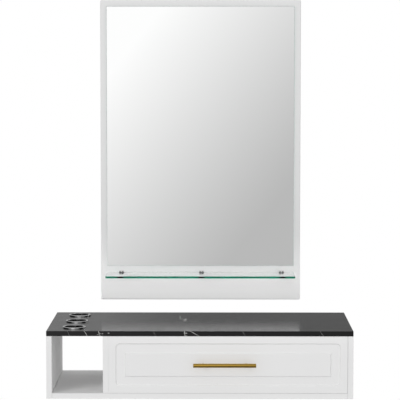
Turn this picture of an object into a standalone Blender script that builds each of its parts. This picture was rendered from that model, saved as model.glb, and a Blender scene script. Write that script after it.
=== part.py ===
"""Wall-mounted styling station: a mirror panel with a glass shelf, over a cabinet with one drawer.

Metres, +Z up. The wall is the plane y = 0 and the station faces -Y. x = 0 is the middle of
the cabinet and z = 0 is half its height, so the origin lies on the back panel's wall face.
"""

import math

import bmesh
import bpy
from mathutils import Vector

for leftover in list(bpy.data.objects):
    bpy.data.objects.remove(leftover, do_unlink=True)

# Fits
SEAT_GAP = 0.0003               # between faces that touch on the real piece
BOARD_ARRIS = 0.0006            # softened edge of an edge-banded board
CUT_MARGIN = 0.004              # how far a cut runs past the wall it opens

# Facets
RING_STEPS = 32
BAR_STEPS = 28
ROD_STEPS = 20
HOLE_STEPS = 14
SLIDE_HOLE_STEPS = 12
RING_EDGE_STEPS = 3
CORNER_STEPS = 4
EDGE_STEPS = 3
BEND_STEPS = 3
RACE_STEPS = 6
CLIP_STEPS = 12
BALL_STEPS = 8
BALL_BANDS = 5
SMOOTH_ANGLE = math.radians(35)
FLAT_ANGLE = 0.001              # faces that meet under this angle are one face
WELD = 0.00001                  # points nearer than this are one point

# Cabinet
CABINET_WIDTH = 0.900
CABINET_DEPTH = 0.400
CABINET_HEIGHT = 0.200
COUNTER_THICKNESS = 0.015
COUNTER_ARRIS = 0.0012
SIDE_THICKNESS = 0.016
BOTTOM_THICKNESS = 0.016
DIVIDER_THICKNESS = 0.016
BACK_THICKNESS = 0.016
CUBBY_WIDTH = 0.150
WALL_HOLE_RADIUS = 0.00275
WALL_HOLE_INSET = 0.055         # from the drawer bay's sides
WALL_HOLE_DROP = 0.034          # from the counter's underside, and from the bottom panel

# Tool rings
RING_INSET = 0.061              # ring centres from the cubby's left wall
RING_BACK_INSET = 0.072         # rearmost centre from the wall
RING_FRONT_INSET = 0.072        # foremost centre from the counter's front edge
RING_BORE_RADIUS = 0.028
RING_WALL = 0.002
RING_FLANGE = 0.006             # flange width, measured from the bore
RING_CROWN = 0.004              # flange height above the counter
RING_EDGE = 0.0014              # rounding of the flange's two upper edges
RING_DROP = 0.004               # sleeve below the counter
RING_CLEARANCE = 0.0004         # counter hole round the sleeve

# Drawer front
REVEAL_LEFT = 0.0004            # gaps round the inset front
REVEAL_RIGHT = 0.0006
REVEAL_ABOVE = 0.0004
REVEAL_BELOW = 0.0006
FRONT_THICKNESS = 0.016
FRONT_MARGIN = 0.0215           # flat border outside the routed band
ROUTED_BAND = 0.0265
ROUTED_DEPTH = 0.003
ROUTED_STEP_RUN = 0.0028        # slope of the outer step
ROUTED_CORNER = 0.013
FIELD_STEP = 0.0018
FIELD_STEP_RUN = 0.0012
FIELD_CORNER = 0.001

# Drawer box
BOX_LIFT = 0.020                # above the bottom panel
BOX_HEADROOM = 0.028            # below the counter
BOX_SIDE_THICKNESS = 0.012
BOX_END_THICKNESS = 0.012
BOX_BACK_CLEARANCE = 0.014
BOX_BOTTOM_THICKNESS = 0.005
GROOVE_DEPTH = 0.006
GROOVE_LIFT = 0.010

# Handle
HANDLE_LENGTH = 0.184
HANDLE_RADIUS = 0.006
HANDLE_REACH = 0.022            # bar axis from the drawer front's face
HANDLE_OFFSET = -0.010          # bar middle from the drawer front's middle, across
HANDLE_RISE = 0.0012            # and up
HANDLE_CENTRES = 0.128
HANDLE_CHAMFER = 0.0008
POST_RADIUS = 0.0035
POST_THREAD_DEPTH = 0.010
SCREW_RADIUS = 0.002
SCREW_HEAD_RADIUS = 0.0042
SCREW_HEAD_HEIGHT = 0.0026
SCREW_HEAD_DOME = 0.001
SCREW_CLEARANCE = 0.0004

# Telescopic slides, three sheet-steel members with two ball cages between them
SLIDE_STEP = 0.050              # slides come in lengths of this step
SLIDE_SETBACK = 0.002           # behind the drawer front
SLIDE_HALF_HEIGHT = 0.0225
SLIDE_SHEET = 0.0012
SLIDE_BEND = 0.0009
SLIDE_LIP = 0.0014
SLIDE_HOLE_RADIUS = 0.0022
SLIDE_HOLE_INSET = 0.032        # from each end of a member
RACE_GAP = 0.0026               # between the flat flanges of two members
RACE_DEPTH = 0.0006
RACE_HALF_WIDTH = 0.0015
RACE_FLAT = 0.0005              # between a race and the bend beside it
RACE_SPACING = 0.0031           # between the outer and the inner row of balls
CAGE_SHEET = 0.0006
CAGE_CLEARANCE = 0.0004         # on each side of a cage's web
CAGE_END_ROOM = 0.0125          # outer cage behind the cabinet member's front end, drawer open
CAGE_END = 0.007                # past the last ball
CAGE_BALLS = 5                  # in each of a cage's two rows
BALL_PITCH = 0.024

# Mirror unit
PANEL_WIDTH = 0.620
PANEL_HEIGHT = 0.930
PANEL_LIFT = 0.044              # above the counter
PANEL_THICKNESS = 0.018
PANEL_EDGE_RADIUS = 0.003       # round-over of the front edges
PANEL_CORNER = 0.004
MIRROR_BORDER = 0.020           # white border at the sides and the top
APRON_HEIGHT = 0.106            # white border below the mirror
MIRROR_THICKNESS = 0.004
MIRROR_ARRIS = 0.0005

# Hanging rails, two Z sections that hook into each other
RAIL_LENGTH = 0.400
RAIL_DROP = 0.150               # wall rail's lower edge below the panel's top edge
RAIL_SHEET = 0.002
RAIL_BACK_SPACE = 0.0017        # between the hook and the wall
RAIL_PLATE = 0.022
RAIL_LIP = 0.014
RAIL_HOOK_CLEARANCE = 0.0015    # under the hook
RAIL_HOLE_RADIUS = 0.0025
RAIL_HOLE_INSET = 0.050         # from each end of a rail
BUMPER_RADIUS = 0.010
BUMPER_INSET = 0.040            # from the panel's side and lower edges

# Glass shelf and its clips
SHELF_SIDE_INSET = 0.020        # from the panel's sides
SHELF_DEPTH = 0.120
SHELF_THICKNESS = 0.006
SHELF_DROP = 0.0217             # middle of the glass below the mirror
SHELF_CORNER = 0.004
CLIP_END_INSET = 0.0415         # outer clips from the glass's ends
CLIP_OFFSET = 0.003             # row of clips right of the glass's middle
CLIP_HALF_WIDTH = 0.0075
CLIP_REACH = 0.028
CLIP_BACK_WALL = 0.005
CLIP_JAW = 0.0035
PAD_THICKNESS = 0.001
CLIP_SCREW_RADIUS = 0.002
CLIP_SCREW_HEAD_RADIUS = 0.0034
CLIP_SCREW_HEAD_HEIGHT = 0.0022

# Places in the cabinet, worked out from the sizes
cabinet_left = -CABINET_WIDTH / 2
cabinet_right = CABINET_WIDTH / 2
cabinet_front = -CABINET_DEPTH
cabinet_bottom = -CABINET_HEIGHT / 2
counter_top = CABINET_HEIGHT / 2
counter_under = counter_top - COUNTER_THICKNESS
floor_level = cabinet_bottom + BOTTOM_THICKNESS
cubby_left = cabinet_left + SIDE_THICKNESS
cubby_right = cubby_left + CUBBY_WIDTH
bay_left = cubby_right + DIVIDER_THICKNESS
bay_right = cabinet_right - SIDE_THICKNESS

# Slide section, counted from the cabinet's side of the slide and from its middle height
outer_web = SLIDE_SHEET / 2
middle_web = outer_web + SLIDE_SHEET + CAGE_SHEET + 2 * CAGE_CLEARANCE
outer_race = middle_web + SLIDE_BEND + RACE_FLAT + RACE_HALF_WIDTH
inner_race = outer_race + RACE_SPACING
inner_web = inner_race + RACE_HALF_WIDTH + RACE_FLAT + SLIDE_BEND
slide_thickness = inner_web + SLIDE_SHEET / 2
flange_tip = inner_race + RACE_HALF_WIDTH
outer_flange = SLIDE_HALF_HEIGHT - RACE_DEPTH - SLIDE_SHEET / 2
middle_flange = outer_flange - RACE_GAP - SLIDE_SHEET
inner_flange = middle_flange - RACE_GAP - SLIDE_SHEET
outer_row = (outer_flange + middle_flange) / 2
inner_row = (middle_flange + inner_flange) / 2
cage_web_step = (SLIDE_SHEET + CAGE_SHEET) / 2 + CAGE_CLEARANCE
ball_radius = RACE_GAP / 2 + RACE_DEPTH - SEAT_GAP

# Places in the drawer
front_left = bay_left + REVEAL_LEFT
front_right = bay_right - REVEAL_RIGHT
front_low = floor_level + REVEAL_BELOW
front_high = counter_under - REVEAL_ABOVE
front_middle = (front_left + front_right) / 2
front_level = (front_low + front_high) / 2
front_back_face = cabinet_front + FRONT_THICKNESS
slide_front = front_back_face + SLIDE_SETBACK
slide_room = -BACK_THICKNESS - slide_front
slide_length = SLIDE_STEP * math.floor(slide_room / SLIDE_STEP)
cage_travel = slide_length / 4                  # of the outer cage, a quarter of the drawer's
box_left = bay_left + slide_thickness + 2 * SEAT_GAP
box_right = bay_right - slide_thickness - 2 * SEAT_GAP
box_low = floor_level + BOX_LIFT
box_high = counter_under - BOX_HEADROOM
box_front = front_back_face + SEAT_GAP
box_back = -BACK_THICKNESS - BOX_BACK_CLEARANCE
slide_axis = (box_low + box_high) / 2

# Places in the mirror unit
panel_low = counter_top + PANEL_LIFT
panel_high = panel_low + PANEL_HEIGHT
hook_lip_y = -(RAIL_BACK_SPACE + RAIL_SHEET / 2)
rail_lip_y = hook_lip_y - RAIL_SHEET - SEAT_GAP
panel_back = rail_lip_y - RAIL_SHEET / 2 - SEAT_GAP
panel_front = panel_back - PANEL_THICKNESS
mirror_low = panel_low + APRON_HEIGHT
shelf_level = mirror_low - SHELF_DROP
shelf_width = PANEL_WIDTH - 2 * SHELF_SIDE_INSET

FINISHES = {                    # colour, roughness, metallic
    "white_board": ((0.80, 0.80, 0.79), 0.45, 0.0),
    "black_marble": ((0.02, 0.02, 0.022), 0.15, 0.0),
    "silvered_mirror": ((0.92, 0.93, 0.93), 0.02, 1.0),
    "clear_glass": ((0.55, 0.80, 0.72), 0.03, 0.0),
    "chrome": ((0.75, 0.76, 0.78), 0.08, 1.0),
    "brass": ((0.55, 0.36, 0.10), 0.30, 1.0),
    "zinc_steel": ((0.60, 0.61, 0.62), 0.35, 1.0),
    "aluminium": ((0.72, 0.73, 0.74), 0.35, 1.0),
    "black_rubber": ((0.02, 0.02, 0.02), 0.80, 0.0),
}

FACING_FRONT = (math.pi / 2, 0, 0)              # local Z along -Y
FACING_BACK = (-math.pi / 2, 0, 0)              # local Z along +Y
ACROSS = (math.pi / 2, 0, math.pi / 2)          # local Z along +X, local X along +Y

parts = bpy.data.collections.new("wall_mounted_styling_station")
cutters = bpy.data.collections.new("cutters")
bpy.context.scene.collection.children.link(parts)
bpy.context.scene.collection.children.link(cutters)


def finished(obj, finish, body=None):
    """Adds an object to the station, with its own material and the body that it moves with."""
    colour, roughness, metallic = FINISHES[finish]
    material = bpy.data.materials.new(f"{obj.name}_{finish}")
    material.use_nodes = True
    shader = material.node_tree.nodes["Principled BSDF"]
    shader.inputs["Base Color"].default_value = (*colour, 1)
    shader.inputs["Roughness"].default_value = roughness
    shader.inputs["Metallic"].default_value = metallic
    obj.data.materials.append(material)
    parts.objects.link(obj)
    if body:
        obj.parent = body
        obj.location -= body.location
    return obj


def moving_body(name, place):
    """Empty that carries the pieces of one moving body."""
    empty = bpy.data.objects.new(name, None)
    empty.location = place
    parts.objects.link(empty)
    return empty


def shape(name, bm, place=(0, 0, 0), rotation=(0, 0, 0), smooth=False):
    """Object made from a bmesh."""
    mesh = bpy.data.meshes.new(name)
    bmesh.ops.recalc_face_normals(bm, faces=bm.faces)
    bm.to_mesh(mesh)
    bm.free()
    if smooth:
        mesh.shade_smooth()
        mesh.set_sharp_from_angle(angle=SMOOTH_ANGLE)
    obj = bpy.data.objects.new(name, mesh)
    obj.location = place
    obj.rotation_euler = rotation
    return obj


def board(name, low, high, arris=0.0, arris_steps=1):
    """Rectangular board between two corners, its edges softened by a bevel."""
    low = Vector(low)
    high = Vector(high)
    bm = bmesh.new()
    bmesh.ops.create_cube(bm, size=1)
    bmesh.ops.scale(bm, vec=high - low, verts=bm.verts)
    obj = shape(name, bm, (low + high) / 2)
    if arris:
        bevel = obj.modifiers.new("arris", "BEVEL")
        bevel.width = arris
        bevel.segments = arris_steps
    return obj


def cylinder(name, radius, length, middle, axis, steps):
    """Round bar about its middle, along X, Y or Z."""
    bm = bmesh.new()
    bmesh.ops.create_cone(
        bm, cap_ends=True, segments=steps, radius1=radius, radius2=radius, depth=length
    )
    rotation = {"X": (0, math.pi / 2, 0), "Y": (math.pi / 2, 0, 0), "Z": (0, 0, 0)}[axis]
    return shape(name, bm, middle, rotation, smooth=True)


def turned(name, profile, middle, steps, rotation=(0, 0, 0), closed=False):
    """Profile of (radius, height) points, outer side downwards, turned about its own Z axis."""
    mesh = bpy.data.meshes.new(name)
    edges = [(i, i + 1) for i in range(len(profile) - 1)]
    if closed:
        edges.append((len(profile) - 1, 0))
    mesh.from_pydata([(radius, 0, height) for radius, height in profile], edges, [])
    obj = bpy.data.objects.new(name, mesh)
    obj.location = middle
    obj.rotation_euler = rotation
    screw = obj.modifiers.new("turn", "SCREW")
    screw.steps = steps
    screw.render_steps = steps
    screw.use_merge_vertices = True
    screw.merge_threshold = WELD
    screw.use_smooth_shade = True
    return obj


def prism(name, outline, length, place, rotation=(0, 0, 0)):
    """Closed outline in local X and Y, as a filled curve, run along local Z about its middle."""
    curve = bpy.data.curves.new(name, "CURVE")
    curve.dimensions = "2D"
    curve.fill_mode = "BOTH"
    curve.extrude = length / 2
    spline = curve.splines.new("POLY")
    spline.points.add(len(outline) - 1)
    for point, (x, y) in zip(spline.points, outline):
        point.co = (x, y, 0, 1)
    spline.use_cyclic_u = True
    drawn = bpy.data.objects.new(name, curve)
    bpy.context.scene.collection.objects.link(drawn)
    graph = bpy.context.evaluated_depsgraph_get()
    bm = bmesh.new()
    bm.from_mesh(bpy.data.meshes.new_from_object(drawn.evaluated_get(graph)))
    bmesh.ops.remove_doubles(bm, verts=bm.verts, dist=WELD)
    bmesh.ops.dissolve_limit(bm, angle_limit=FLAT_ANGLE, verts=bm.verts, edges=bm.edges)
    bpy.data.objects.remove(drawn, do_unlink=True)
    return shape(name, bm, place, rotation)


def lofted(name, rings, place, rotation):
    """Closed solid through rings of equal point count, each an outline and its level."""
    bm = bmesh.new()
    loops = [[bm.verts.new((x, y, level)) for x, y in outline] for outline, level in rings]
    for lower, upper in zip(loops, loops[1:]):
        for i in range(len(lower)):
            j = (i + 1) % len(lower)
            bm.faces.new((lower[i], lower[j], upper[j], upper[i]))
    bm.faces.new(loops[0])
    bm.faces.new(loops[-1])
    return shape(name, bm, place, rotation)


def boolean(obj, other, operation="DIFFERENCE", solver="EXACT"):
    """Cuts a hidden helper from an object, or joins it on."""
    if other.name not in cutters.objects:
        cutters.objects.link(other)
        other.hide_render = True
        other.display_type = "WIRE"
    modifier = obj.modifiers.new(other.name, "BOOLEAN")
    modifier.operation = operation
    modifier.solver = solver
    modifier.object = other


def rounded_rectangle(width, height, radius):
    """Rectangle about the origin, its corners drawn as arcs, anticlockwise."""
    points = []
    for turn, (across, up) in enumerate(((1, 1), (-1, 1), (-1, -1), (1, -1))):
        for step in range(CORNER_STEPS + 1):
            angle = math.pi / 2 * (turn + step / CORNER_STEPS)
            x = across * (width / 2 - radius) + radius * math.cos(angle)
            y = up * (height / 2 - radius) + radius * math.sin(angle)
            points.append((x, y))
    return points


def inset_ring(width, height, inset, corner, level):
    """Ring of a loft: a rounded rectangle set in from the overall size, at one level."""
    return rounded_rectangle(width - 2 * inset, height - 2 * inset, corner), level


def sheet_outline(path, thickness):
    """Closed outline of bent sheet metal about its centre line, with mitred bends."""
    path = [Vector(point) for point in path]
    runs = [(b - a).normalized() for a, b in zip(path, path[1:])]
    normals = [Vector((-run.y, run.x)) for run in runs]
    mitres = [normals[0]]
    for before, after in zip(normals, normals[1:]):
        mitres.append((before + after) / (1 + before.dot(after)))
    mitres.append(normals[-1])
    near = [point + mitre * thickness / 2 for point, mitre in zip(path, mitres)]
    far = [point - mitre * thickness / 2 for point, mitre in zip(path, mitres)]
    return near + far[::-1]


def cabinet():
    """Counter, sides, bottom, divider between cubby and drawer bay, and the bay's back panel."""
    counter = board(
        "countertop",
        (cabinet_left, cabinet_front, counter_under),
        (cabinet_right, 0, counter_top),
        COUNTER_ARRIS,
        arris_steps=2,
    )
    side_top = counter_under - SEAT_GAP
    left_side = board(
        "left_side_panel",
        (cabinet_left, cabinet_front, cabinet_bottom),
        (cubby_left, 0, side_top),
        BOARD_ARRIS,
    )
    right_side = board(
        "right_side_panel",
        (bay_right, cabinet_front, cabinet_bottom),
        (cabinet_right, 0, side_top),
        BOARD_ARRIS,
    )
    bottom = board(
        "bottom_panel",
        (cubby_left + SEAT_GAP, cabinet_front, cabinet_bottom),
        (bay_right - SEAT_GAP, 0, floor_level),
        BOARD_ARRIS,
    )
    divider = board(
        "divider_panel",
        (cubby_right, cabinet_front, floor_level + SEAT_GAP),
        (bay_left, 0, side_top),
        BOARD_ARRIS,
    )
    back = board(
        "back_panel",
        (bay_left + SEAT_GAP, -BACK_THICKNESS, floor_level + SEAT_GAP),
        (bay_right - SEAT_GAP, 0, side_top),
        BOARD_ARRIS,
    )
    hole_length = BACK_THICKNESS + 2 * CUT_MARGIN
    for x in (bay_left + WALL_HOLE_INSET, bay_right - WALL_HOLE_INSET):
        for z in (floor_level + WALL_HOLE_DROP, counter_under - WALL_HOLE_DROP):
            middle = (x, -BACK_THICKNESS / 2, z)
            hole = cylinder("wall_hole", WALL_HOLE_RADIUS, hole_length, middle, "Y", HOLE_STEPS)
            boolean(back, hole)
    tool_rings(counter)
    finished(counter, "black_marble")
    for panel in (left_side, right_side, bottom, divider, back):
        finished(panel, "white_board")


def ring_profile():
    """Flange with rounded edges over a thin sleeve, down the outer side and up the bore."""
    rim_radius = RING_BORE_RADIUS + RING_FLANGE
    sleeve_radius = RING_BORE_RADIUS + RING_WALL
    low = -COUNTER_THICKNESS - RING_DROP
    bore_edge = []
    rim_edge = []
    for step in range(RING_EDGE_STEPS + 1):
        angle = math.pi / 2 * step / RING_EDGE_STEPS
        across = RING_EDGE * (1 - math.cos(angle))
        level = RING_CROWN - RING_EDGE * (1 - math.sin(angle))
        bore_edge.append((RING_BORE_RADIUS + across, level))
        rim_edge.append((rim_radius - across, level))
    seat = [(rim_radius, SEAT_GAP), (sleeve_radius, SEAT_GAP)]
    sleeve_end = [(sleeve_radius, low), (RING_BORE_RADIUS, low)]
    return rim_edge[::-1] + seat + sleeve_end + bore_edge


def tool_rings(counter):
    """Three flanged sleeves in a row, front to back, each in its hole through the counter."""
    x = cubby_left + RING_INSET
    rear = -RING_BACK_INSET
    front = cabinet_front + RING_FRONT_INSET
    hole_radius = RING_BORE_RADIUS + RING_WALL + RING_CLEARANCE
    hole_length = COUNTER_THICKNESS + 2 * CUT_MARGIN
    for place, y in (("back", rear), ("middle", (rear + front) / 2), ("front", front)):
        hole_middle = (x, y, counter_top - COUNTER_THICKNESS / 2)
        hole = cylinder("tool_hole", hole_radius, hole_length, hole_middle, "Z", RING_STEPS)
        boolean(counter, hole)
        ring_place = (x, y, counter_top)
        ring = turned(f"tool_ring_{place}", ring_profile(), ring_place, RING_STEPS, closed=True)
        finished(ring, "chrome")


def routed_rings(width, height):
    """Outlines and levels of the drawer front, from its back face to the raised field."""
    step_foot = FRONT_MARGIN + ROUTED_STEP_RUN
    field = FRONT_MARGIN + ROUTED_BAND
    return [
        inset_ring(width, height, 0, BOARD_ARRIS, -FRONT_THICKNESS),
        inset_ring(width, height, 0, BOARD_ARRIS, -BOARD_ARRIS),
        inset_ring(width, height, BOARD_ARRIS, BOARD_ARRIS, 0),
        inset_ring(width, height, FRONT_MARGIN, ROUTED_CORNER, 0),
        inset_ring(width, height, step_foot, ROUTED_CORNER - ROUTED_STEP_RUN, -ROUTED_DEPTH),
        inset_ring(width, height, field - FIELD_STEP_RUN, FIELD_CORNER, -FIELD_STEP),
        inset_ring(width, height, field, FIELD_CORNER, 0),
    ]


def drawer(body):
    """Routed front, and a box whose bottom sits in grooves."""
    front = lofted(
        "drawer_front",
        routed_rings(front_right - front_left, front_high - front_low),
        (front_middle, cabinet_front, front_level),
        FACING_FRONT,
    )
    inner_left = box_left + BOX_SIDE_THICKNESS
    inner_right = box_right - BOX_SIDE_THICKNESS
    inner_front_face = box_front + BOX_END_THICKNESS
    inner_back_face = box_back - BOX_END_THICKNESS
    left = board(
        "drawer_left_side",
        (box_left, box_front, box_low),
        (inner_left, box_back, box_high),
        BOARD_ARRIS,
    )
    right = board(
        "drawer_right_side",
        (inner_right, box_front, box_low),
        (box_right, box_back, box_high),
        BOARD_ARRIS,
    )
    inner_front = board(
        "drawer_inner_front",
        (inner_left + SEAT_GAP, box_front, box_low),
        (inner_right - SEAT_GAP, inner_front_face, box_high),
        BOARD_ARRIS,
    )
    back = board(
        "drawer_back",
        (inner_left + SEAT_GAP, inner_back_face, box_low),
        (inner_right - SEAT_GAP, box_back, box_high),
        BOARD_ARRIS,
    )
    bottom_level = box_low + GROOVE_LIFT
    into_groove = Vector((GROOVE_DEPTH, GROOVE_DEPTH, 0))
    room = Vector((SEAT_GAP, SEAT_GAP, SEAT_GAP))
    low = Vector((inner_left, inner_front_face, bottom_level)) - into_groove
    high = Vector((inner_right, inner_back_face, bottom_level + BOX_BOTTOM_THICKNESS)) + into_groove
    bottom = board("drawer_bottom", low, high)
    groove = board("bottom_groove", low - room, high + room)
    for panel in (left, right, inner_front, back):
        boolean(panel, groove)
    handle(front, inner_front, inner_front_face, body)
    for panel in (front, left, right, inner_front, back, bottom):
        finished(panel, "white_board", body)


def handle(front, inner_front, inner_front_face, body):
    """Round bar on two posts, each held by a screw from inside the drawer."""
    middle = front_middle + HANDLE_OFFSET
    level = front_level + HANDLE_RISE
    bar_y = cabinet_front - HANDLE_REACH
    bar_place = (middle, bar_y, level)
    bar = cylinder("handle_bar", HANDLE_RADIUS, HANDLE_LENGTH, bar_place, "X", BAR_STEPS)
    chamfer = bar.modifiers.new("end_chamfer", "BEVEL")
    chamfer.width = HANDLE_CHAMFER
    chamfer.segments = 1
    finished(bar, "brass", body)
    saddle_radius = HANDLE_RADIUS + SEAT_GAP
    saddle = cylinder("post_saddle", saddle_radius, HANDLE_LENGTH, bar_place, "X", BAR_STEPS)
    post_foot = cabinet_front - SEAT_GAP
    post_length = post_foot - bar_y
    screw_end = post_foot - POST_THREAD_DEPTH
    hole_radius = SCREW_RADIUS + SCREW_CLEARANCE
    hole_start = screw_end - SCREW_CLEARANCE
    hole_length = inner_front_face + CUT_MARGIN - hole_start
    head_seat = inner_front_face + SEAT_GAP
    screw_profile = [
        (0, SCREW_HEAD_HEIGHT),
        (SCREW_HEAD_RADIUS - SCREW_HEAD_DOME, SCREW_HEAD_HEIGHT),
        (SCREW_HEAD_RADIUS, SCREW_HEAD_HEIGHT - SCREW_HEAD_DOME),
        (SCREW_HEAD_RADIUS, 0),
        (SCREW_RADIUS, 0),
        (SCREW_RADIUS, screw_end - head_seat),
        (0, screw_end - head_seat),
    ]
    for side, offset in (("left", -HANDLE_CENTRES / 2), ("right", HANDLE_CENTRES / 2)):
        x = middle + offset
        post_middle = (x, (post_foot + bar_y) / 2, level)
        post = cylinder(f"handle_post_{side}", POST_RADIUS, post_length, post_middle, "Y", ROD_STEPS)
        hole_middle = (x, hole_start + hole_length / 2, level)
        hole = cylinder("handle_hole", hole_radius, hole_length, hole_middle, "Y", HOLE_STEPS)
        boolean(post, saddle)
        for drilled in (post, front, inner_front):
            boolean(drilled, hole)
        finished(post, "brass", body)
        screw_place = (x, head_seat, level)
        screw = turned(f"handle_screw_{side}", screw_profile, screw_place, HOLE_STEPS, FACING_BACK)
        finished(screw, "zinc_steel", body)


def channel_path(web, flange, tip, bend, races, lip=0.0):
    """Centre line of a slide section: web, two bends, and two flanges pressed into ball races."""
    toward = 1 if tip > web else -1
    upper = []
    for step in range(BEND_STEPS + 1):
        angle = math.pi / 2 * step / BEND_STEPS
        x = web + toward * bend * (1 - math.cos(angle))
        upper.append((x, flange - bend * (1 - math.sin(angle))))
    for race, dip in races:
        for step in range(RACE_STEPS + 1):
            share = 2 * step / RACE_STEPS - 1
            x = race + toward * RACE_HALF_WIDTH * share
            if (x - upper[-1][0]) * toward > WELD:
                upper.append((x, flange + dip * (1 - share * share)))
    upper.append((tip, flange))
    if lip:
        upper.append((tip, flange - lip))
    return [(x, -z) for x, z in reversed(upper)] + upper


def section_prism(name, path, sheet, place, toward, length):
    """Bent sheet section that starts at a place on the cabinet's side and runs back along +Y."""
    x, start, z = place
    outline = [(toward * across, up) for across, up in sheet_outline(path, sheet)]
    return prism(name, outline, length, (x, start + length / 2, z), FACING_FRONT)


def slide_member(name, path, web, place, toward, body):
    """One sheet-steel member of a slide, with a screw hole near each end."""
    member = section_prism(name, path, SLIDE_SHEET, place, toward, slide_length)
    x, start, z = place
    for inset in (SLIDE_HOLE_INSET, slide_length - SLIDE_HOLE_INSET):
        middle = (x + toward * web, start + inset, z)
        hole = cylinder("slide_hole", SLIDE_HOLE_RADIUS, 2 * SLIDE_SHEET, middle, "X", SLIDE_HOLE_STEPS)
        boolean(member, hole, solver="MANIFOLD")
    finished(member, "zinc_steel", body)


def ball_cage(name, path, race, row, place, toward, body):
    """Thin cage between two members, with a row of balls in each of its flanges."""
    x, front, z = place
    start = front + cage_travel + CAGE_END_ROOM
    length = (CAGE_BALLS - 1) * BALL_PITCH + 2 * CAGE_END
    cage = section_prism(name, path, CAGE_SHEET, (x, start, z), toward, length)
    bm = bmesh.new()
    for level in (z - row, z + row):
        for index in range(CAGE_BALLS):
            ball = bmesh.ops.create_uvsphere(
                bm, u_segments=BALL_STEPS, v_segments=BALL_BANDS, radius=ball_radius
            )
            middle = Vector((x + toward * race, start + CAGE_END + index * BALL_PITCH, level))
            bmesh.ops.translate(bm, vec=middle, verts=ball["verts"])
    boolean(cage, shape(f"{name}_balls", bm), "UNION")
    finished(cage, "zinc_steel", body)


def slide(side, wall_x, toward, drawer_body):
    """Telescopic slide on one side of the drawer bay: three members and two ball cages."""
    outward = RACE_DEPTH
    inward = -RACE_DEPTH
    outer_path = channel_path(
        outer_web, outer_flange, flange_tip, SLIDE_SHEET, [(outer_race, outward)], SLIDE_LIP
    )
    middle_path = channel_path(
        middle_web, middle_flange, flange_tip, SLIDE_BEND, [(outer_race, inward), (inner_race, outward)]
    )
    inner_path = channel_path(inner_web, inner_flange, outer_race, SLIDE_BEND, [(inner_race, inward)])
    outer_cage_tip = outer_race + ball_radius + CAGE_SHEET
    outer_cage_path = channel_path(middle_web - cage_web_step, outer_row, outer_cage_tip, SLIDE_BEND, [])
    inner_cage_path = channel_path(middle_web + cage_web_step, inner_row, flange_tip, SLIDE_BEND, [])

    place = (wall_x + toward * SEAT_GAP, slide_front, slide_axis)
    middle_body = moving_body(f"{side}_middle_slide", place)
    outer_cage_body = moving_body(f"{side}_outer_cage_slide", place)
    inner_cage_body = moving_body(f"{side}_inner_cage_slide", place)
    name = f"slide_{side}"
    slide_member(f"{name}_cabinet_member", outer_path, outer_web, place, toward, None)
    slide_member(f"{name}_middle_member", middle_path, middle_web, place, toward, middle_body)
    slide_member(f"{name}_drawer_member", inner_path, inner_web, place, toward, drawer_body)
    ball_cage(f"{name}_outer_cage", outer_cage_path, outer_race, outer_row, place, toward, outer_cage_body)
    ball_cage(f"{name}_inner_cage", inner_cage_path, inner_race, inner_row, place, toward, inner_cage_body)


def rounded_front_rings(width, height):
    """Outlines and levels of the mirror panel, from its back face over its rounded front edges."""
    rings = [inset_ring(width, height, 0, PANEL_CORNER, -PANEL_THICKNESS)]
    for step in range(EDGE_STEPS + 1):
        angle = math.pi / 2 * step / EDGE_STEPS
        inset = PANEL_EDGE_RADIUS * (1 - math.cos(angle))
        level = PANEL_EDGE_RADIUS * (math.sin(angle) - 1)
        rings.append(inset_ring(width, height, inset, PANEL_CORNER - inset, level))
    return rings


def mirror_unit():
    """White panel with the mirror glued to its face, hung on two hooked rails."""
    panel = lofted(
        "mirror_panel",
        rounded_front_rings(PANEL_WIDTH, PANEL_HEIGHT),
        (0, panel_front, (panel_low + panel_high) / 2),
        FACING_FRONT,
    )
    finished(panel, "white_board")
    half_width = PANEL_WIDTH / 2 - MIRROR_BORDER
    mirror_back = panel_front - SEAT_GAP
    glass = board(
        "mirror_glass",
        (-half_width, mirror_back - MIRROR_THICKNESS, mirror_low),
        (half_width, mirror_back, panel_high - MIRROR_BORDER),
        MIRROR_ARRIS,
    )
    finished(glass, "silvered_mirror")
    hanging_rails()
    thickness = -panel_back - SEAT_GAP
    for side, sign in (("left", -1), ("right", 1)):
        x = sign * (PANEL_WIDTH / 2 - BUMPER_INSET)
        middle = (x, -thickness / 2, panel_low + BUMPER_INSET)
        bumper = cylinder(f"mirror_bumper_{side}", BUMPER_RADIUS, thickness, middle, "Y", ROD_STEPS)
        finished(bumper, "black_rubber")


def hanging_rails():
    """Z section on the wall, and the hook that sits in it on the panel's back."""
    base = panel_high - RAIL_DROP
    ledge = base + RAIL_PLATE
    lip_top = ledge + RAIL_LIP
    hook_step = lip_top + SEAT_GAP + RAIL_SHEET / 2
    wall_plate_y = -RAIL_SHEET / 2
    hook_plate_y = panel_back + SEAT_GAP + RAIL_SHEET / 2
    wall_path = [
        (wall_plate_y, base),
        (wall_plate_y, ledge),
        (rail_lip_y, ledge),
        (rail_lip_y, lip_top),
    ]
    hook_path = [
        (hook_lip_y, ledge + RAIL_SHEET / 2 + RAIL_HOOK_CLEARANCE),
        (hook_lip_y, hook_step),
        (hook_plate_y, hook_step),
        (hook_plate_y, hook_step + RAIL_PLATE),
    ]
    rails = (
        ("mirror_wall_rail", wall_path, wall_plate_y, base + RAIL_PLATE / 2),
        ("mirror_hook_rail", hook_path, hook_plate_y, hook_step + RAIL_PLATE / 2),
    )
    for name, path, plate_y, hole_level in rails:
        rail = prism(name, sheet_outline(path, RAIL_SHEET), RAIL_LENGTH, (0, 0, 0), ACROSS)
        for sign in (-1, 1):
            middle = (sign * (RAIL_LENGTH / 2 - RAIL_HOLE_INSET), plate_y, hole_level)
            hole = cylinder("rail_hole", RAIL_HOLE_RADIUS, 2 * RAIL_SHEET, middle, "Y", HOLE_STEPS)
            boolean(rail, hole)
        finished(rail, "aluminium")


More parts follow.
